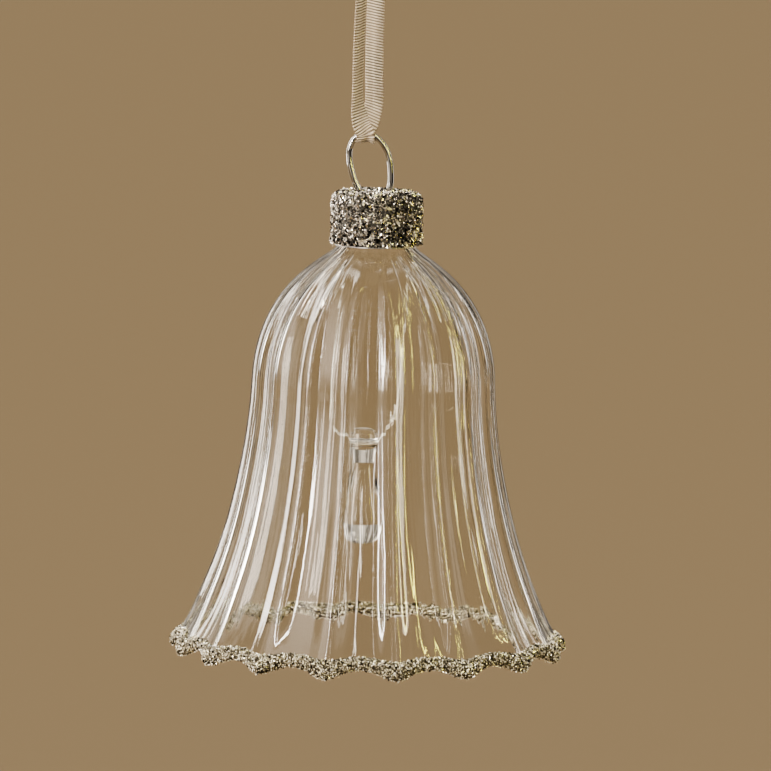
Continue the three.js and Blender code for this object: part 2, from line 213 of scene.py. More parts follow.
grosgrain, tree, shader = finish_of("grosgrain", Sheen_Weight=0.35, Sheen_Roughness=0.4)
weave = put(tree, "ShaderNodeSeparateXYZ", {0: put(tree, "ShaderNodeUVMap", uv_map="weave").outputs[0]})
from_edge = calc(tree, "ABSOLUTE", calc(tree, "SUBTRACT", weave.outputs[0], 0.5))
slope = calc(tree, "MULTIPLY_ADD", weave.outputs[0], 1.1, weave.outputs[1])
rib_wave = calc(tree, "COSINE", calc(tree, "MULTIPLY", slope, 2 * math.pi))
rib_share = calc(tree, "MULTIPLY_ADD", rib_wave, 0.5, 0.5)
# A band along each edge, for painted shade where the ribbon's edges roll away from the light.
rolled_edge_shade = span_of(tree, from_edge, 0.43, 0.49)
yarns = put(tree, "ShaderNodeTexNoise", {
    "Vector": put(tree, "ShaderNodeCombineXYZ", {
        0: calc(tree, "MULTIPLY", weave.outputs[0], 34.0), 1: calc(tree, "MULTIPLY", slope, 1.6),
    }).outputs[0], "Scale": 1.0, "Detail": 3.0,
}).outputs[0]
# Random darker brown patches over the whole ribbon: painted shade, standing in for the strand that turns
# away from the light.
shade_mottle = put(tree, "ShaderNodeTexNoise", {
    "Vector": put(tree, "ShaderNodeTexCoord").outputs["Object"], "Scale": 260.0, "Detail": 2.0,
}).outputs[0]
# The cream ribs get painted shade in the grooves between them, nearly black where each rib dips.
ribs_with_groove_shade = blend_colour(tree, span_of(tree, rib_share, 0.25, 0.75), (0.06, 0.042, 0.025), (0.84, 0.75, 0.60))
threads = blend_colour(tree, span_of(tree, yarns, 0.35, 0.7), (0.42, 0.33, 0.22), (0.92, 0.84, 0.68))
woven = blend_colour(tree, 0.22, ribs_with_groove_shade, threads)
# Painted shade darkens the edge bands halfway to brown.
with_edge_shade = blend_colour(tree, calc(tree, "MULTIPLY", rolled_edge_shade, 0.5), woven, (0.34, 0.26, 0.17))
# Painted shade in random patches, up to a third of the way to brown.
tree.links.new(
    blend_colour(tree, span_of(tree, shade_mottle, 0.3, 0.7, 0.0, 0.35), with_edge_shade, (0.46, 0.37, 0.26)),
    shader.inputs["Base Color"],
)
tree.links.new(span_of(tree, yarns, 0.2, 0.8, 0.55, 0.8), shader.inputs["Roughness"])
weave_height = calc(tree, "MULTIPLY_ADD", rib_share, 0.6, calc(tree, "MULTIPLY", yarns, 0.7))
tree.links.new(
    put(tree, "ShaderNodeBump", {"Strength": 0.9, "Distance": 0.10 * mm, "Height": weave_height}).outputs[0],
    shader.inputs["Normal"],
)

turn = [
    turn_place + turn_radius * Vector((0, math.cos(a), math.sin(a)))
    for a in np.radians(np.arange(180, 361, 30))
]
ribbon_points = [
    *(Vector(p) * mm for p in front_strand), *turn, *(Vector(p) * mm for p in reversed(back_strand))
]
ribbon_route, ribbon_length = smooth_route(ribbon_points, 1400)
# On its way down each strand turns about its length. It lies flat at the knot and again at the ring.
front_twist = 60
back_twist = -22
depth = -ribbon_route[:, 2] / mm
is_front = np.arange(len(depth)) < np.argmax(depth)
edge_on = np.where(
    is_front,
    front_twist * eased(depth, 2, 30) * (1 - eased(depth, 69.0, 76.5)),
    back_twist * eased(depth, 2, 30) * (1 - eased(depth, 66, 76)),
)
edge_on = np.radians(np.convolve(np.pad(edge_on, 20, mode="edge"), np.ones(41) / 41, mode="valid"))
width_ways = np.stack([np.cos(edge_on), np.sin(edge_on), np.zeros_like(edge_on)], axis=1)
# Above, the strip's middle bows out of the loop. At the turn its edges curl away from the wire.
strand_cup = 0.18
turn_cup = -0.30
near_turn = eased(depth, 69.0, 77.5)
cups = (strand_cup * (1 - near_turn) + turn_cup * near_turn) * mm
narrows = 1 - 0.06 * near_turn
ribbon = woven_strip(
    "ribbon", ribbon_route, width_ways, cups, narrows, ribbon_width, ribbon_thick, rib_pitch
)
ribbon.data.materials.append(grosgrain)
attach(ribbon, "ribbon")
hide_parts("ribbon_loop")

# ---- Ribbon knot ----
# The same ribbon, both ends tied in one overhand knot and pulled tight above the twig. The cut tails
# stand up and spread.

knot_middle = Vector((0, 0, 2.7)) * mm
knot_pieces = []
wraps = [
    # tilt about x, tilt about y, radius, rise and fall round the ring
    (16, -30, 1.95, 0.35), (-24, 26, 2.05, 0.35), (62, 8, 1.75, 0.315),
]
for tilt_x, tilt_y, radius, swell in wraps:
    tilt = (
        Matrix.Rotation(math.radians(tilt_x), 3, "X") @ Matrix.Rotation(math.radians(tilt_y), 3, "Y")
    )
    ring = [
        knot_middle
        + tilt @ Vector((radius * math.cos(a), radius * math.sin(a), swell * math.sin(2 * a))) * mm
        for a in np.linspace(0, 2 * math.pi, 41)
    ]
    route, _ = smooth_route(ring, 260)
    upright = np.array(tilt @ Vector((0, 0, 1)))
    knot_pieces.append(woven_strip(
        "wrap", route, np.tile(upright, (len(route), 1)), np.full(len(route), -0.35 * mm),
        np.full(len(route), 0.86), ribbon_width, ribbon_thick, rib_pitch,
    ))
for side in (-1, 1):
    tail = [
        (0.3 * side, 0.2 * side, 1.2), (0.5 * side, -0.8 * side, 3.2), (0.5 * side, -2.2 * side, 5.6),
        (0.3 * side, -4.1 * side, 8.6), (0.1 * side, -5.4 * side, 11.6),
    ]
    route, _ = smooth_route([Vector(p) * mm for p in tail], 220)
    ways = np.tile(np.array((1.0, 0.25 * side, 0.0)), (len(route), 1))
    knot_pieces.append(woven_strip(
        "tail", route, ways, np.full(len(route), 0.22 * mm), np.full(len(route), 0.97),
        ribbon_width, ribbon_thick, rib_pitch,
    ))
heart = [Vector((0.6, 0, -0.1)), Vector((0.4, 0.2, 1.4)), Vector((-0.2, 0, 2.9)), Vector((0.2, 0, 4.3))]
route, _ = smooth_route([p * mm for p in heart], 160)
knot_pieces.append(woven_strip(
    "heart", route, np.tile(np.array((1.0, 0.0, 0.0)), (len(route), 1)), np.full(len(route), 0.5 * mm),
    np.full(len(route), 0.95), ribbon_width, 1.9 * mm, rib_pitch,
))
joined = bmesh.new()
for piece in knot_pieces:
    joined.from_mesh(piece.data)
    bpy.data.objects.remove(piece)
knot_mesh = bpy.data.meshes.new("knot")
joined.to_mesh(knot_mesh)
joined.free()
knot = bpy.data.objects.new("knot", knot_mesh)
bpy.context.scene.collection.objects.link(knot)
knot.data.materials.append(grosgrain)
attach(knot, "top_knot")
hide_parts("ribbon_knot")

# ---- Glass bell ----
# Thin clear glass blown into a fluted mould, so the outside is ridged and the inside softer, then opened
# out at the rim. The flutes run from the neck and end in the rim's scallops. The whole bell hangs by
# the crown of the ring on its cap.

coat_top = 80.6
ring_rise = 10.1
ring_shift = -0.6
ring_lean = math.radians(9.5)
ring_crown = Vector((ring_shift - math.tan(ring_lean) * ring_rise, 0, coat_top + ring_rise))
bell_place = Vector([round(c, 4) for c in turn_place / mm - ring_crown]) * mm
bell_height = 70.8 * mm
neck_radius = 6.9 * mm
neck_length = 7.6 * mm
neck_bend = 1.8 * mm
side_radius = 22.0 * mm
side_height = bell_height - 24.9 * mm
shoulder_pull = 19.1 * mm
side_pull = 16.0 * mm
side_lean = 0.65 * mm
rim_radius = 35.0 * mm
flare_reach = 7.1 * mm
flare_drop = 9.1 * mm


def bezier(points, count):
    """Places on a cubic curve."""
    t = np.linspace(0, 1, count)[:, None]
    a, b, c, d = (np.array(p, float) for p in points)
    return (1 - t) ** 3 * a + 3 * t * (1 - t) ** 2 * b + 3 * t * t * (1 - t) * c + t ** 3 * d


outline = np.concatenate([
    [(neck_radius, bell_height + neck_length)],
    bezier([(neck_radius, bell_height), (neck_radius, bell_height - neck_bend),
            (side_radius - side_lean, side_height + shoulder_pull), (side_radius, side_height)], 90),
    bezier([(side_radius, side_height), (side_radius + side_lean, side_height - side_pull),
            (rim_radius - flare_reach, flare_drop), (rim_radius, 0)], 110)[1:],
])


def drawn_line(name, points):
    """A line of edges through the points, for a tree to work on."""
    mesh = bpy.data.meshes.new(name)
    places = [tuple(p) for p in points]
    mesh.from_pydata(places, [(i, i + 1) for i in range(len(places) - 1)], [])
    line = bpy.data.objects.new(name, mesh)
    bpy.context.scene.collection.objects.link(line)
    return line


def new_tree(name, kind, inputs, outputs):
    """A node tree with named inputs and outputs."""
    tree = bpy.data.node_groups.new(name, kind)
    for way, sockets in (("INPUT", inputs), ("OUTPUT", outputs)):
        for label, socket_type in sockets.items():
            tree.interface.new_socket(label, in_out=way, socket_type="NodeSocket" + socket_type)
    return tree, tree.nodes.new("NodeGroupInput").outputs, tree.nodes.new("NodeGroupOutput")


def grown(name, source, tree, sizes):
    """The plain mesh that a tree makes of a source, as a piece. The sizes go in by identifier."""
    modifier = source.modifiers.new(name, "NODES")
    modifier.node_group = tree
    for item in tree.interface.items_tree:
        if item.in_out == "INPUT" and item.name in sizes:
            modifier[item.identifier] = sizes[item.name]
    bpy.context.view_layer.update()
    graph = bpy.context.evaluated_depsgraph_get()
    mesh = bpy.data.meshes.new_from_object(
        source.evaluated_get(graph), preserve_all_data_layers=True, depsgraph=graph
    )
    mesh.name = name
    source.modifiers.remove(modifier)
    bpy.data.objects.remove(source)
    piece = bpy.data.objects.new(name, mesh)
    bpy.context.scene.collection.objects.link(piece)
    return piece


tree, given, result = new_tree("fluted_wall", "GeometryNodeTree", {
    "Outline": "Geometry", "Material": "Material", "Flutes": "Int", "Columns": "Int", "Rows": "Int",
    "Wall": "Float", "Neck Radius": "Float", "Rim Radius": "Float", "Flute Depth": "Float",
    "Neck Share": "Float", "Sharpness": "Float",
    "First Bearing": "Float", "Drift": "Float", "Drift From": "Float", "Scallop Dip": "Float",
    "Scallop Span": "Float", "Inside Softness": "Float", "Striation": "Float",
    "Striation Fineness": "Float", "Hand Waver": "Float", "Place": "Vector",
}, {"Bell": "Geometry"})
rows_twice = calc(tree, "MULTIPLY_ADD", given["Rows"], 2.0, 1.0)
sheet = put(tree, "GeometryNodeMeshGrid", {
    "Size X": 1.0, "Size Y": 1.0, "Vertices X": calc(tree, "ADD", given["Columns"], 1.0),
    "Vertices Y": calc(tree, "ADD", rows_twice, 2.0),
})
flat = put(tree, "ShaderNodeSeparateXYZ", {0: put(tree, "GeometryNodeInputPosition").outputs[0]})
share = calc(tree, "MULTIPLY", calc(tree, "ADD", flat.outputs[0], 0.5), given["Flutes"])
row = calc(tree, "ROUND", calc(
    tree, "MULTIPLY", calc(tree, "ADD", flat.outputs[1], 0.5), calc(tree, "ADD", rows_twice, 1.0)
))
back_row = calc(tree, "MAXIMUM", calc(tree, "SUBTRACT", rows_twice, row), 0.0)
down = calc(tree, "DIVIDE", calc(tree, "MINIMUM", row, back_row), given["Rows"])
inside = calc(
    tree, "MULTIPLY", calc(tree, "GREATER_THAN", row, calc(tree, "ADD", given["Rows"], 0.5)),
    calc(tree, "LESS_THAN", row, calc(tree, "ADD", rows_twice, 0.5)),
)
line = put(tree, "GeometryNodeMeshToCurve", {"Mesh": given["Outline"]})
there = put(tree, "GeometryNodeSampleCurve", {"Curves": line.outputs[0], "Factor": down}, mode="FACTOR")
spot = put(tree, "ShaderNodeSeparateXYZ", {0: there.outputs["Position"]})
way = put(tree, "ShaderNodeSeparateXYZ", {0: there.outputs["Tangent"]})
inward = calc(tree, "MULTIPLY", inside, given["Wall"])
radius = calc(tree, "MULTIPLY_ADD", way.outputs[2], inward, spot.outputs[0])
level = calc(tree, "SUBTRACT", spot.outputs[2], calc(tree, "MULTIPLY", way.outputs[0], inward))
crest = calc(tree, "MULTIPLY_ADD", calc(
    tree, "COSINE", calc(tree, "MULTIPLY", share, 2 * math.pi)), 0.5, 0.5)
spread = calc(tree, "MAXIMUM", calc(
    tree, "DIVIDE", calc(tree, "SUBTRACT", radius, given["Neck Radius"]),
    calc(tree, "SUBTRACT", given["Rim Radius"], given["Neck Radius"])), 0.0)
low_down = put(tree, "ShaderNodeMapRange", {
    "Value": level, "From Min": 0.0, "From Max": given["Scallop Span"], "To Min": 1.0, "To Max": 0.0,
}, interpolation_type="SMOOTHSTEP").outputs[0]
soft = calc(tree, "SUBTRACT", 1.0, calc(
    tree, "MULTIPLY", calc(tree, "MULTIPLY", inside, given["Inside Softness"]),
    calc(tree, "SUBTRACT", 1.0, low_down)))
hollow = calc(tree, "SUBTRACT", 1.0, calc(tree, "POWER", crest, given["Sharpness"]))
deepened = put(tree, "ShaderNodeMapRange", {
    "Value": spread, "From Min": 0.0, "From Max": 1.0, "To Min": given["Neck Share"], "To Max": 1.0,
}).outputs[0]
groove = calc(tree, "MULTIPLY", calc(
    tree, "MULTIPLY", calc(tree, "MULTIPLY", given["Flute Depth"], deepened), hollow), soft)
turned = calc(tree, "MULTIPLY", flat.outputs[0], 2 * math.pi)
around = calc(tree, "COSINE", turned)
about = calc(tree, "SINE", turned)
wander = put(tree, "ShaderNodeTexNoise", {
    "Vector": put(tree, "ShaderNodeCombineXYZ", {
        0: calc(tree, "MULTIPLY", around, given["Striation Fineness"]),
        1: calc(tree, "MULTIPLY", about, given["Striation Fineness"]),
        2: calc(tree, "MULTIPLY", down, 0.9)}).outputs[0],
    "Scale": 1.0, "Detail": 3.0, "Roughness": 0.62}).outputs[0]
fine_lines = calc(tree, "MULTIPLY", calc(
    tree, "MULTIPLY", calc(tree, "SUBTRACT", wander, 0.5), given["Striation"]),
    calc(tree, "MINIMUM", calc(tree, "MULTIPLY", spread, 5.0), 1.0))
hand = put(tree, "ShaderNodeTexNoise", {
    "Vector": put(tree, "ShaderNodeCombineXYZ", {
        0: around, 1: about, 2: calc(tree, "MULTIPLY", down, 4.0)}).outputs[0],
    "Scale": 1.3, "Detail": 1.0}).outputs[0]
waver = calc(tree, "MULTIPLY", calc(
    tree, "MULTIPLY", calc(tree, "SUBTRACT", hand, 0.5), given["Hand Waver"]),
    calc(tree, "MINIMUM", spread, calc(tree, "SUBTRACT", 1.0, low_down)))
reach = calc(tree, "ADD", calc(tree, "ADD", calc(tree, "SUBTRACT", radius, groove), fine_lines), waver)
drop = calc(tree, "MULTIPLY", calc(
    tree, "MULTIPLY", calc(tree, "POWER", crest, given["Sharpness"]), given["Scallop Dip"]), low_down)
even = calc(tree, "ADD", given["First Bearing"], calc(
    tree, "MULTIPLY", calc(tree, "ADD", flat.outputs[0], 0.5), 2 * math.pi))
bearing = calc(tree, "ADD", even, calc(
    tree, "MULTIPLY", given["Drift"], calc(
        tree, "SINE", calc(tree, "SUBTRACT", even, given["Drift From"]))))
moved = put(tree, "GeometryNodeSetPosition", {
    "Geometry": sheet.outputs[0], "Offset": given["Place"],
    "Position": put(tree, "ShaderNodeCombineXYZ", {
        0: calc(tree, "MULTIPLY", reach, calc(tree, "SINE", bearing)),
        1: calc(tree, "MULTIPLY", calc(tree, "MULTIPLY", reach, calc(tree, "COSINE", bearing)), -1.0),
        2: calc(tree, "SUBTRACT", level, drop)}).outputs[0],
})
closed = put(tree, "GeometryNodeMergeByDistance", {"Geometry": moved.outputs[0], "Distance": 2e-6})
smooth = put(tree, "GeometryNodeSetShadeSmooth", {"Geometry": closed.outputs[0], "Shade Smooth": True})
real = put(tree, "GeometryNodeRealizeInstances", {"Geometry": smooth.outputs[0]})
coloured = put(tree, "GeometryNodeSetMaterial", {"Geometry": real.outputs[0], "Material": given["Material"]})
tree.links.new(coloured.outputs[0], result.inputs[0])
fluted_wall = tree

# Both glasses of the ornament show the same faint ripple and tiny seeds of fire-polished glass.
tree, given, result = new_tree("blown_ripple", "ShaderNodeTree", {
    "Scale": "Float", "Depth": "Float", "Seeds": "Float",
}, {"Normal": "Vector", "Roughness": "Float"})
where = put(tree, "ShaderNodeTexCoord").outputs["Object"]
slow = put(tree, "ShaderNodeTexNoise", {"Vector": where, "Scale": given["Scale"], "Detail": 2.0}).outputs[0]
specks = put(tree, "ShaderNodeTexVoronoi", {"Vector": where, "Scale": given["Seeds"]}).outputs[0]
pimples = span_of(tree, specks, 0.03, 0.10, 1.0, 0.0)
height = calc(tree, "MULTIPLY_ADD", pimples, 0.5, slow)
tree.links.new(put(
    tree, "ShaderNodeBump", {"Strength": given["Depth"], "Distance": 0.2 * mm, "Height": height}
).outputs[0], result.inputs["Normal"])
tree.links.new(span_of(tree, slow, 0.45, 0.8, 0.0, 0.035), result.inputs["Roughness"])
blown_ripple = tree


def glass_finish(name, tint, ripple_scale, ripple_depth, seeds):
    """Clear glass that lets lamps through to what is behind it."""
    material, tree, shader = finish_of(name, Transmission_Weight=1.0, IOR=1.5, Base_Color=(*tint, 1))
    ripple = put(tree, "ShaderNodeGroup", node_tree=blown_ripple)
    for key, value in (("Scale", ripple_scale), ("Depth", ripple_depth), ("Seeds", seeds)):
        ripple.inputs[key].default_value = value
    tree.links.new(ripple.outputs["Normal"], shader.inputs["Normal"])
    tree.links.new(ripple.outputs["Roughness"], shader.inputs["Roughness"])
    clear = put(tree, "ShaderNodeBsdfTransparent", {"Color": (0.94, 0.93, 0.90, 1)})
    lamps = put(tree, "ShaderNodeMixShader", {
        0: put(tree, "ShaderNodeLightPath").outputs["Is Shadow Ray"],
        1: shader.outputs[0], 2: clear.outputs[0],
    })
    tree.links.new(lamps.outputs[0], tree.nodes["Material Output"].inputs["Surface"])
    return material


clear_glass = glass_finish("clear_glass", (0.985, 0.975, 0.945), 90.0, 0.10, 420.0)
bell = grown("bell", drawn_line("outline", [(r, 0, z) for r, z in outline]), fluted_wall, {
    "Material": clear_glass, "Flutes": 18, "Columns": 18 * 36, "Rows": 66, "Wall": 0.6 * mm,
    "Neck Radius": neck_radius, "Rim Radius": rim_radius, "Flute Depth": 1.5 * mm,
    "First Bearing": math.radians(11.5), "Drift": math.radians(5), "Drift From": math.radians(45),
    "Neck Share": 0.06, "Sharpness": 2.0,
    "Scallop Dip": 1.1 * mm, "Scallop Span": 10 * mm, "Inside Softness": 0.04,
    "Striation": 0.32 * mm, "Striation Fineness": 13.0, "Hand Waver": 0.4 * mm, "Place": bell_place,
})
shell = bmesh.new()
shell.from_mesh(bell.data)
bmesh.ops.recalc_face_normals(shell, faces=shell.faces)
shell.to_mesh(bell.data)
shell.free()
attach(bell, "bell")
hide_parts("glass_bell")

# ---- Glitter on the rim and the cap ----
# Crushed glass glitter stuck on in glue: fine pale champagne shards round the rim's edge, and coarse
# silvered ones in a thick coat over the cap. Each coat is a skin of glue with loose shards piled on it.


def chance(tree, kind, low, high, seed):
    """A random value of one kind, a number or a vector."""
    low_key, high_key, result_key = {"FLOAT": (2, 3, 1), "FLOAT_VECTOR": (0, 1, 0)}[kind]
    return put(
        tree, "FunctionNodeRandomValue", {low_key: low, high_key: high, "Seed": seed}, data_type=kind
    ).outputs[result_key]


tree, given, result = new_tree("glitter_coat", "GeometryNodeTree", {
    "Skin": "Geometry", "Skin Material": "Material", "Grain Material": "Material", "Rounding": "Int",
    "Grains a Square Metre": "Float", "Smallest": "Float", "Largest": "Float", "Pile": "Float",
    "Sink": "Float", "Seed": "Int",
}, {"Coat": "Geometry"})
fuller = put(tree, "GeometryNodeSubdivisionSurface", {"Mesh": given["Skin"], "Level": given["Rounding"]})
rounded = put(tree, "GeometryNodeSetPosition", {
    "Geometry": fuller.outputs[0], "Offset": put(tree, "ShaderNodeVectorMath", {
        0: put(tree, "GeometryNodeInputNormal").outputs[0],
        "Scale": calc(tree, "MULTIPLY", given["Sink"], -1.0)}, operation="SCALE").outputs[0]})
skin = put(tree, "GeometryNodeSetMaterial", {
    "Geometry": put(tree, "GeometryNodeSetShadeSmooth", {"Geometry": rounded.outputs[0]}).outputs[0],
    "Material": given["Skin Material"]})
spots = put(tree, "GeometryNodeDistributePointsOnFaces", {
    "Mesh": rounded.outputs[0], "Density": given["Grains a Square Metre"], "Seed": given["Seed"]})
lifted = put(tree, "GeometryNodeSetPosition", {
    "Geometry": spots.outputs["Points"], "Offset": put(tree, "ShaderNodeVectorMath", {
        0: spots.outputs["Normal"],
        "Scale": calc(tree, "MULTIPLY", given["Pile"], chance(
            tree, "FLOAT", -0.3, 1.0, calc(tree, "ADD", given["Seed"], 1.0)))},
        operation="SCALE").outputs[0]})
shard = put(tree, "GeometryNodeMeshUVSphere", {"Segments": 4, "Rings": 2, "Radius": 0.5})
shard_flat = put(tree, "GeometryNodeSetShadeSmooth", {"Geometry": shard.outputs[0], "Shade Smooth": False})
size = chance(tree, "FLOAT", given["Smallest"], given["Largest"], calc(tree, "ADD", given["Seed"], 2.0))
stretch = chance(tree, "FLOAT_VECTOR", (0.75, 0.6, 0.45), (1.25, 1.0, 0.85), calc(
    tree, "ADD", given["Seed"], 3.0))
stood = put(tree, "GeometryNodeInstanceOnPoints", {
    "Points": lifted.outputs[0], "Instance": shard_flat.outputs[0],
    "Rotation": put(tree, "FunctionNodeEulerToRotation", {0: chance(
        tree, "FLOAT_VECTOR", (0, 0, 0), (6.28, 6.28, 6.28), calc(tree, "ADD", given["Seed"], 4.0)
    )}).outputs[0],
    "Scale": put(tree, "ShaderNodeVectorMath", {0: stretch, "Scale": size}, operation="SCALE").outputs[0]})
toned = put(tree, "GeometryNodeStoreNamedAttribute", {
    "Geometry": stood.outputs[0], "Name": "tone",
    "Value": chance(tree, "FLOAT", 0.0, 1.0, calc(tree, "ADD", given["Seed"], 5.0)),
}, data_type="FLOAT", domain="INSTANCE")
real = put(tree, "GeometryNodeRealizeInstances", {"Geometry": toned.outputs[0]})
heap = put(tree, "GeometryNodeSetMaterial", {
    "Geometry": real.outputs[0], "Material": given["Grain Material"]})
together = put(tree, "GeometryNodeJoinGeometry")
tree.links.new(skin.outputs[0], together.inputs[0])
tree.links.new(heap.outputs[0], together.inputs[0])
tree.links.new(together.outputs[0], result.inputs[0])
glitter_coat = tree

# How a heap of shards looks: most pale, some dark where light misses them as painted shade, and a few whiter
# as painted glints.
tree, given, result = new_tree("shard_tone", "ShaderNodeTree", {
    "Dark": "Color", "Usual": "Color", "Bright": "Color", "Dark Share": "Float",
}, {"Colour": "Color", "Roughness": "Float"})
tone = put(tree, "ShaderNodeAttribute", attribute_name="tone").outputs["Fac"]
where = put(tree, "ShaderNodeTexCoord").outputs["Object"]
patch = put(tree, "ShaderNodeTexNoise", {"Vector": where, "Scale": 700.0, "Detail": 2.0}).outputs[0]
mixed = calc(tree, "ADD", tone, calc(tree, "MULTIPLY", calc(tree, "SUBTRACT", patch, 0.5), 0.5))
darker = span_of(tree, calc(tree, "SUBTRACT", mixed, given["Dark Share"]), -0.05, 0.05)
usual = blend_colour(tree, darker, given["Dark"], given["Usual"])
tree.links.new(
    blend_colour(tree, span_of(tree, mixed, 0.62, 0.95), usual, given["Bright"]), result.inputs["Colour"])
tree.links.new(span_of(tree, patch, 0.3, 0.7, 0.10, 0.38), result.inputs["Roughness"])
shard_tone = tree


def glitter_finish(name, dark, usual, bright, dark_share, metal):
    """Silvered glass shards in three tones: pale, dark with painted shade, and whiter with painted glints.
    """
    material, tree, shader = finish_of(name, Metallic=metal)
    tones = put(tree, "ShaderNodeGroup", node_tree=shard_tone)
    for key, value in (("Dark", dark), ("Usual", usual), ("Bright", bright)):
        tones.inputs[key].default_value = (*value, 1)
    tones.inputs["Dark Share"].default_value = dark_share
    tree.links.new(tones.outputs["Colour"], shader.inputs["Base Color"])
    tree.links.new(tones.outputs["Roughness"], shader.inputs["Roughness"])
    return material


def glue_finish(name, hollow_shade, raised, grain):
    """Glue with powder in it, seen between the shards, with painted shade darkening the hollows round each
    powder cell.
    """
    material, tree, shader = finish_of(name, Metallic=0.2)
    where = put(tree, "ShaderNodeTexCoord").outputs["Object"]
    cells = put(tree, "ShaderNodeTexVoronoi", {"Vector": where, "Scale": 1 / grain}).outputs[0]
    # The low ground between the powder cells takes the dark tone: painted shade.
    tree.links.new(
        blend_colour(tree, span_of(tree, cells, 0.1, 0.6), raised, hollow_shade), shader.inputs["Base Color"])
    tree.links.new(span_of(tree, cells, 0.0, 0.6, 0.3, 0.7), shader.inputs["Roughness"])
    tree.links.new(put(tree, "ShaderNodeBump", {
        "Strength": 0.9, "Distance": 0.3 * grain, "Height": calc(tree, "SUBTRACT", 1.0, cells)
    }).outputs[0], shader.inputs["Normal"])
    return material


def merged_copy(node, name):
    """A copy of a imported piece's mesh with its loose triangles joined, and quads where they pair up."""
    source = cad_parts[node]
    shape = bmesh.new()
    shape.from_mesh(source.data)
    bmesh.ops.remove_doubles(shape, verts=shape.verts, dist=2e-6)
    bmesh.ops.join_triangles(
        shape, faces=shape.faces, angle_face_threshold=3.1, angle_shape_threshold=3.1,
        cmp_seam=False, cmp_sharp=False, cmp_uvs=False, cmp_vcols=False, cmp_materials=False,
    )
    mesh = bpy.data.meshes.new(name)
    shape.to_mesh(mesh)
    shape.free()
    copy = bpy.data.objects.new(name, mesh)
    bpy.context.scene.collection.objects.link(copy)
    return copy


champagne_grains = glitter_finish(
    "champagne_grains", (0.02, 0.016, 0.01), (0.96, 0.91, 0.74), (1.0, 0.99, 0.92), 0.24, 0.6)
champagne_glue = glue_finish("champagne_glue", (0.05, 0.04, 0.025), (0.60, 0.55, 0.40), 0.3 * mm)
rim = grown("rim_coat", merged_copy("rim_glitter", "rim_skin"), glitter_coat, {
    "Skin Material": champagne_glue, "Grain Material": champagne_grains, "Rounding": 1,
    "Grains a Square Metre": 6.4e6, "Smallest": 0.24 * mm, "Largest": 0.58 * mm,
    "Pile": 0.16 * mm, "Sink": 0.16 * mm, "Seed": 7,
})
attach(rim, "bell")
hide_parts("rim_glitter")

silver_grains = glitter_finish(
    "silver_grains", (0.02, 0.018, 0.015), (0.68, 0.63, 0.55), (1.0, 0.97, 0.92), 0.32, 0.95)
silver_glue = glue_finish("silver_glue", (0.03, 0.027, 0.022), (0.24, 0.22, 0.19), 0.4 * mm)
coat = grown("cap_coat", merged_copy("cap_glitter", "cap_skin"), glitter_coat, {
    "Skin Material": silver_glue, "Grain Material": silver_grains, "Rounding": 0,
    "Grains a Square Metre": 6.5e6, "Smallest": 0.30 * mm, "Largest": 0.85 * mm,
    "Pile": 0.22 * mm, "Sink": 0.42 * mm, "Seed": 3,
})
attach(coat, "bell")
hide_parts("cap_glitter")

# ---- Cap ----
# Thin silvered tinplate pressed to a cup, under the glitter. Its bare inside shows from below through
# the glass of the neck.

tinplate, tree, shader = finish_of("tinplate", Metallic=1.0)
where = put(tree, "ShaderNodeTexCoord").outputs["Object"]
spangle = put(tree, "ShaderNodeTexNoise", {"Vector": where, "Scale": 900.0, "Detail": 4.0}).outputs[0]
tree.links.new(blend_colour(
    tree, span_of(tree, spangle, 0.35, 0.65), (0.46, 0.45, 0.43), (0.72, 0.70, 0.67)
), shader.inputs["Base Color"])
tree.links.new(span_of(tree, spangle, 0.3, 0.7, 0.25, 0.45), shader.inputs["Roughness"])
tree.links.new(put(tree, "ShaderNodeBump", {
    "Strength": 0.3, "Distance": 0.02 * mm, "Height": spangle}).outputs[0], shader.inputs["Normal"])
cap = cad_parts["cap"]
cap.data.materials.clear()
cap.data.materials.append(tinplate)

# ---- Hanger ----
# One length of bright nickelled spring wire, bent into a ring that leans over and two splayed legs. The
# legs are squeezed together to push them down the neck, and their spring holds the cap on.

wire_radius = 0.55
ring_half = 3.6
ring_belly = 5.4
ring_foot = 2.8
leg_splay = math.radians(29)
leg_top = 70.8
leg_root = 4.9
leg_length = 15.5


def ring_half_at(height):
    """Half the ring's width: an ellipse above its widest place and a longer, open one below."""
    if height >= ring_belly:
        return ring_half * math.sqrt(1 - ((height - ring_belly) / (ring_rise - ring_belly)) ** 2)
    foot = ring_foot / ring_half
    return ring_half * math.sqrt(1 - ((ring_belly - height) / ring_belly) ** 2 * (1 - foot ** 2))


def ring_point(side, height):
    middle = ring_shift - math.tan(ring_lean) * height
    return Vector((middle + side * ring_half_at(height), 0, coat_top + height))


def leg_point(side, along):
    out = leg_root + along * math.sin(leg_splay)
    return Vector((side * out, 0, leg_top - along * math.cos(leg_splay)))


def hanger_half(side):
    """One leg from its end, and up one side of the ring."""
    legs = [leg_point(side, share * leg_length) for share in (1, 0.5, 0.08)]
    in_cap = (leg_point(side, 0) + ring_point(side, 0)) / 2
    return [*legs, in_cap, *(ring_point(side, h) for h in (0, 1.8, 3.6, 5.4, 7.3, 8.8, 9.7))]


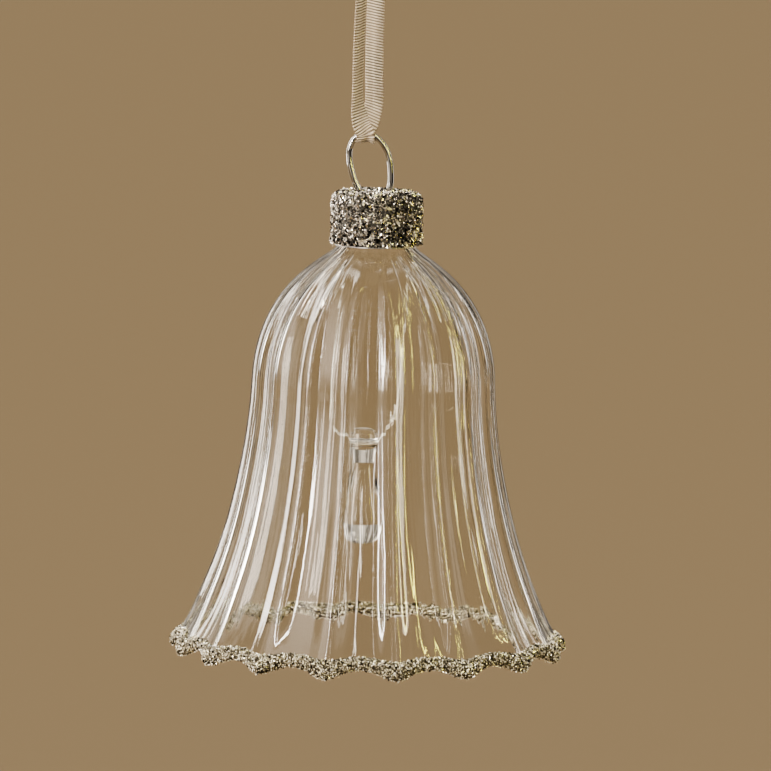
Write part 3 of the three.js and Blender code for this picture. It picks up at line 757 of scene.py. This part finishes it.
tree, given, result = new_tree("round_strand", "GeometryNodeTree", {
    "Line": "Geometry", "Material": "Material", "Radius": "Float", "Sides": "Int", "Place": "Vector",
}, {"Strand": "Geometry"})
line = put(tree, "GeometryNodeMeshToCurve", {"Mesh": given["Line"]})
girth = put(tree, "GeometryNodeCurvePrimitiveCircle", {
    "Resolution": given["Sides"], "Radius": given["Radius"]})
tube = put(tree, "GeometryNodeCurveToMesh", {
    "Curve": line.outputs[0], "Profile Curve": girth.outputs[0], "Fill Caps": True})
placed = put(tree, "GeometryNodeSetPosition", {"Geometry": tube.outputs[0], "Offset": given["Place"]})
smooth = put(tree, "GeometryNodeSetShadeSmooth", {"Geometry": placed.outputs[0], "Shade Smooth": True})
real = put(tree, "GeometryNodeRealizeInstances", {"Geometry": smooth.outputs[0]})
coloured = put(tree, "GeometryNodeSetMaterial", {"Geometry": real.outputs[0], "Material": given["Material"]})
tree.links.new(coloured.outputs[0], result.inputs[0])
round_strand = tree

steel_wire, tree, shader = finish_of("steel_wire", Metallic=1.0)
where = put(tree, "ShaderNodeTexCoord").outputs["Object"]
stretched = put(tree, "ShaderNodeMapping", {"Vector": where, "Scale": (1.0, 1.0, 0.12)}).outputs[0]
drawn = put(tree, "ShaderNodeTexNoise", {"Vector": stretched, "Scale": 5000.0, "Detail": 3.0}).outputs[0]
smudge = put(tree, "ShaderNodeTexNoise", {"Vector": where, "Scale": 500.0, "Detail": 3.0}).outputs[0]
tree.links.new(blend_colour(
    tree, span_of(tree, smudge, 0.5, 0.75), (0.58, 0.56, 0.53), (0.30, 0.28, 0.25)
), shader.inputs["Base Color"])
tree.links.new(span_of(tree, drawn, 0.3, 0.7, 0.015, 0.05), shader.inputs["Roughness"])
tree.links.new(put(tree, "ShaderNodeBump", {
    "Strength": 0.03, "Distance": 0.01 * mm, "Height": drawn}).outputs[0], shader.inputs["Normal"])

hanger_route, _ = smooth_route(
    [*hanger_half(-1), ring_point(0, ring_rise), *reversed(hanger_half(1))], 320)
hanger = grown("hanger", drawn_line("hanger_line", hanger_route * mm), round_strand, {
    "Material": steel_wire, "Radius": wire_radius * mm, "Sides": 24, "Place": bell_place})
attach(hanger, "bell")
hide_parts("hanger_wire")

# ---- Clapper thread and its ties ----
# Clear nylon monofilament, wound three times round each leg of the hanger and tied. It hangs between
# them in a loop that carries the clapper.

thread_radius = 0.175
loop_radius = 5.45
loop_shift = -1.6
loop_drop = 30.65
loop_middle = Vector((loop_shift, 0, leg_top - loop_drop))
tie_along = 4.2
tie_girth = 0.3
tie_turns = 3.25
tie_pitch = 0.38

nylon, tree, shader = finish_of("nylon", Transmission_Weight=0.8, IOR=1.53, Coat_Weight=0.4)
where = put(tree, "ShaderNodeTexCoord").outputs["Object"]
cloud = put(tree, "ShaderNodeTexNoise", {"Vector": where, "Scale": 1500.0, "Detail": 2.0}).outputs[0]
tree.links.new(blend_colour(
    tree, span_of(tree, cloud, 0.3, 0.7), (0.86, 0.83, 0.76), (0.97, 0.95, 0.90)
), shader.inputs["Base Color"])
tree.links.new(span_of(tree, cloud, 0.3, 0.7, 0.12, 0.28), shader.inputs["Roughness"])


def strand_top(side):
    """Where the thread leaves the tie, on the inner side of the leg."""
    tie = leg_point(side, tie_along)
    under = wire_radius + tie_girth + 0.4
    tie.x -= side * under * math.cos(leg_splay)
    tie.z -= under * math.sin(leg_splay) + 0.7
    return tie


loop_arc = [
    loop_middle + loop_radius * Vector((math.cos(a), 0, math.sin(a)))
    for a in np.radians(np.arange(180, 361, 22.5))
]
left, right = strand_top(-1), strand_top(1)
thread_route, thread_length = smooth_route([
    left, (left + loop_arc[0]) / 2, *loop_arc, (right + loop_arc[-1]) / 2, right,
], 260)
thread = grown("thread", drawn_line("thread_line", thread_route * mm), round_strand, {
    "Material": nylon, "Radius": thread_radius * mm, "Sides": 12, "Place": bell_place})
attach(thread, "thread")
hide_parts("clapper_thread")

for name, side, node in (("tie_left", -1, "thread_knot_left"), ("tie_right", 1, "thread_knot_right")):
    along = leg_point(side, tie_along)
    down_leg = (leg_point(side, tie_along + 1) - along).normalized()
    out = Vector((0, 1, 0))
    across = down_leg.cross(out)
    wound = []
    for a in np.linspace(0, 2 * math.pi * tie_turns, 150):
        reach = wire_radius + 0.19 + 0.05 * math.sin(1.7 * a)
        wound.append(
            along + down_leg * (tie_pitch * (a / (2 * math.pi) - 1.6))
            + reach * (math.cos(a) * across * side + math.sin(a) * out)
        )
    tie = grown(name, drawn_line("tie_line", [p * mm for p in wound]), round_strand, {
        "Material": nylon, "Radius": thread_radius * mm, "Sides": 10, "Place": bell_place})
    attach(tie, "bell")
    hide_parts(node)

# ---- Clapper ----
# A drop of solid clear pressed glass with a hole across its head for the thread. It weighs the thread
# down and taps the bell.

eye_depth = 2.9
head_radius = 2.45
drop_length = 21.0
drop_top = Vector((loop_middle.x, 0, loop_middle.z - loop_radius + eye_depth)) * mm + bell_place
drop_outline = [
    (0.0, 0.0), (1.2, -0.02), (1.95, -0.28), (2.35, -0.95), (2.45, -1.9), (2.42, -3.6), (2.25, -5.2),
    (2.12, -6.6), (2.3, -8.2), (2.78, -10.6), (3.45, -13.2), (4.0, -15.2), (4.2, -16.7), (4.02, -18.3),
    (3.35, -19.7), (2.2, -20.62), (1.0, -20.95), (0.0, -drop_length),
]
drop_side, _ = smooth_route([(r, 0, z) for r, z in drop_outline], 90)
drop_shape = bmesh.new()
sides = 72
rings = []
for r, _, z in drop_side[1:-1] * mm:
    rings.append([
        drop_shape.verts.new((max(r, 1e-5) * math.cos(a), max(r, 1e-5) * math.sin(a), z))
        for a in np.linspace(0, 2 * math.pi, sides, endpoint=False)
    ])
top = drop_shape.verts.new((0, 0, 0))
tip = drop_shape.verts.new((0, 0, -drop_length * mm))
for upper, lower in zip(rings, rings[1:]):
    for k in range(sides):
        drop_shape.faces.new((upper[k], lower[k], lower[k - 1], upper[k - 1]))
for k in range(sides):
    drop_shape.faces.new((top, rings[0][k], rings[0][k - 1]))
    drop_shape.faces.new((tip, rings[-1][k - 1], rings[-1][k]))
bmesh.ops.recalc_face_normals(drop_shape, faces=drop_shape.faces)
drop_mesh = bpy.data.meshes.new("clapper")
drop_shape.to_mesh(drop_mesh)
drop_shape.free()
clapper = bpy.data.objects.new("clapper", drop_mesh)
bpy.context.scene.collection.objects.link(clapper)

# The hole is wide enough for the thread to curve through the head.
bore = bmesh.new()
bore_rise = loop_radius - math.sqrt(loop_radius ** 2 - head_radius ** 2)
bore_radius = (thread_radius + bore_rise / 2 + 0.3) * mm
bore_middle = Vector((0, 0, bore_rise / 2 - eye_depth)) * mm
bmesh.ops.create_cone(
    bore, cap_ends=True, segments=32, radius1=bore_radius, radius2=bore_radius, depth=8 * mm,
    matrix=Matrix.Translation(bore_middle) @ Matrix.Rotation(math.pi / 2, 4, "Y"),
)
bore_mesh = bpy.data.meshes.new("bore")
bore.to_mesh(bore_mesh)
bore.free()
drill = bpy.data.objects.new("drill", bore_mesh)
bpy.context.scene.collection.objects.link(drill)
hole = clapper.modifiers.new("hole", "BOOLEAN")
hole.operation = "DIFFERENCE"
hole.solver = "EXACT"
hole.object = drill
bpy.context.view_layer.update()
graph = bpy.context.evaluated_depsgraph_get()
clapper_mesh = bpy.data.meshes.new_from_object(clapper.evaluated_get(graph))
clapper.modifiers.clear()
clapper.data = clapper_mesh
clapper.data.transform(Matrix.Translation(drop_top))
clapper.data.polygons.foreach_set("use_smooth", [True] * len(clapper.data.polygons))
clapper.data.set_sharp_from_angle(angle=math.radians(35))
bpy.data.objects.remove(drill)
solid_glass = glass_finish("solid_glass", (0.97, 0.965, 0.95), 220.0, 0.12, 900.0)
clapper.data.materials.clear()
clapper.data.materials.append(solid_glass)
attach(clapper, "clapper")
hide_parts("clapper_drop")

# ---- Floor and light ----
# A plain pale floor far below, and soft studio light: a softbox to each side and a broad sky of light.
# Tall panels all round are what the glass and the metal mirror.

floor_level = -1.0
floor_mesh = bpy.data.meshes.new("floor")
floor_shape = bmesh.new()
bmesh.ops.create_circle(floor_shape, cap_ends=True, segments=64, radius=60)
bmesh.ops.translate(floor_shape, verts=floor_shape.verts, vec=(0, 0, floor_level))
floor_shape.to_mesh(floor_mesh)
floor_shape.free()
floor = bpy.data.objects.new("floor", floor_mesh)
bpy.context.scene.collection.objects.link(floor)
floor_paint, tree, shader = finish_of("floor_paint", Roughness=0.9, Base_Color=(0.32, 0.25, 0.165, 1))
floor.data.materials.append(floor_paint)

world = bpy.data.worlds.new("world")
bpy.context.scene.world = world
world.use_nodes = True
surround = world.node_tree.nodes["Background"]
surround.inputs["Color"].default_value = (0.80, 0.67, 0.47, 1)
surround.inputs["Strength"].default_value = 0.30


def softbox(name, bearing, height, distance, wide, tall, power, colour):
    """A rectangle of light at a bearing from the front towards +x, facing the ornament."""
    light = bpy.data.lights.new(name, "AREA")
    light.shape = "RECTANGLE"
    light.size = wide
    light.size_y = tall
    light.energy = power
    light.color = colour
    lamp = bpy.data.objects.new(name, light)
    bpy.context.scene.collection.objects.link(lamp)
    middle = Vector((0, 0, -0.12))
    angle = math.radians(bearing)
    lamp.location = middle + Vector((distance * math.sin(angle), -distance * math.cos(angle), height))
    lamp.rotation_euler = (middle - lamp.location).to_track_quat("-Z", "Y").to_euler()
    lamp.visible_camera = False
    lamp.visible_glossy = False


softbox("tall_softbox", -58, 0.10, 1.1, 0.30, 0.80, 7.0, (1.0, 0.93, 0.87))
softbox("side_softbox", 66, 0.20, 1.2, 0.20, 0.80, 5.0, (1.0, 0.95, 0.84))
sun = bpy.data.lights.new("sky", "SUN")
sun.energy = 3.1
sun.angle = math.radians(50)
sun.color = (1.0, 0.97, 0.93)
sky = bpy.data.objects.new("sky", sun)
sky.rotation_euler = (math.radians(34), math.radians(-36), 0)
sky.visible_glossy = False
bpy.context.scene.collection.objects.link(sky)


def glowing_panels(name, panels, reach, low, high, foot, unseen):
    """Tall panels of light in a ring, each leaning over to the middle: bearing, width, glow and colour.
    Each fades upwards, and at its foot to a share. They aren't seen themselves, but only in what shines,
    or only in what refracts."""
    steps = 24
    mesh = bpy.data.meshes.new(name)
    shape = bmesh.new()
    glow = shape.verts.layers.float.new("glow")
    tint = shape.verts.layers.float_vector.new("tint")
    for bearing, wide, strength, colour in panels:
        rows = []
        for share in np.linspace(0, 1, steps):
            rise = math.radians(low + (high - low) * share)
            rows.append([])
            for side in (bearing - wide / 2, bearing + wide / 2):
                angle = math.radians(side)
                corner = shape.verts.new((
                    reach * math.cos(rise) * math.sin(angle), -reach * math.cos(rise) * math.cos(angle),
                    reach * math.sin(rise)))
                corner[glow] = strength * (1 - share ** 2) * (foot + (1 - foot) * min(1, share * 8))
                corner[tint] = colour
                rows[-1].append(corner)
        for lower, upper in zip(rows, rows[1:]):
            shape.faces.new((lower[0], lower[1], upper[1], upper[0]))
    shape.to_mesh(mesh)
    shape.free()
    ring = bpy.data.objects.new(name, mesh)
    bpy.context.scene.collection.objects.link(ring)
    shine = bpy.data.materials.new(name)
    shine.use_nodes = True
    tree = shine.node_tree
    tree.nodes.clear()
    lit = put(tree, "ShaderNodeEmission", {
        "Color": put(tree, "ShaderNodeAttribute", attribute_name="tint").outputs["Color"],
        "Strength": put(tree, "ShaderNodeAttribute", attribute_name="glow").outputs["Fac"]})
    end = put(tree, "ShaderNodeOutputMaterial")
    tree.links.new(lit.outputs[0], end.inputs["Surface"])
    mesh.materials.append(shine)
    for way in ("camera", "diffuse", "shadow", unseen):
        setattr(ring, "visible_" + way, False)


# Flats of uneven brightness stand all round, as the walls of a room do: dim to the right, brighter to
# the left, and even behind.
chances = random.Random(11)
flats = []
reached = -180.0
while reached < 180:
    wide = chances.uniform(3, 13)
    if abs(reached) > 105:
        strength = chances.choice((0.15, 0.3, 0.5, 0.8))
    elif reached < -25:
        strength = chances.choice((0.02, 0.3, 1.2, 3.5))
    else:
        strength = chances.choice((0.02, 0.03, 0.06, 0.25, 1.0))
    flats.append((reached + wide / 2, wide, strength, (1.0, 0.92, 0.82)))
    reached += wide
# Narrow strips draw the bright lines: white to the left and middle, and yellow to the right. The wide
# one is a soft window.
strips = [
    (-34, 2.6, 60.0, (1.0, 0.98, 0.95)),
    (-56, 32, 2.6, (1.0, 0.91, 0.84)),
    (-9, 1.2, 14.0, (1.0, 0.97, 0.92)),
    (24, 1.5, 9.0, (1.0, 0.96, 0.88)),
    (52, 1.3, 48.0, (1.0, 0.96, 0.20)),
    (72, 1.4, 32.0, (1.0, 0.95, 0.28)),
]
edges = [(-122, 14.0, 8.0, (1.0, 0.95, 0.90)), (128, 5.0, 5.0, (1.0, 0.95, 0.90))]
# The near rings are what shines, and the far ones, clear of the floor, are what refracts.
glowing_panels("near_flats", flats, 3.0, -17.0, 82.0, 1, "transmission")
glowing_panels("near_strips", strips, 2.9, -4.0, 78.0, 0, "transmission")
glowing_panels("near_edges", edges, 2.9, -17.0, 78.0, 1, "transmission")
glowing_panels("far_flats", flats, 20.0, -3.0, 82.0, 1, "glossy")
glowing_panels("far_strips", strips + edges, 19.0, -2.0, 78.0, 0, "glossy")
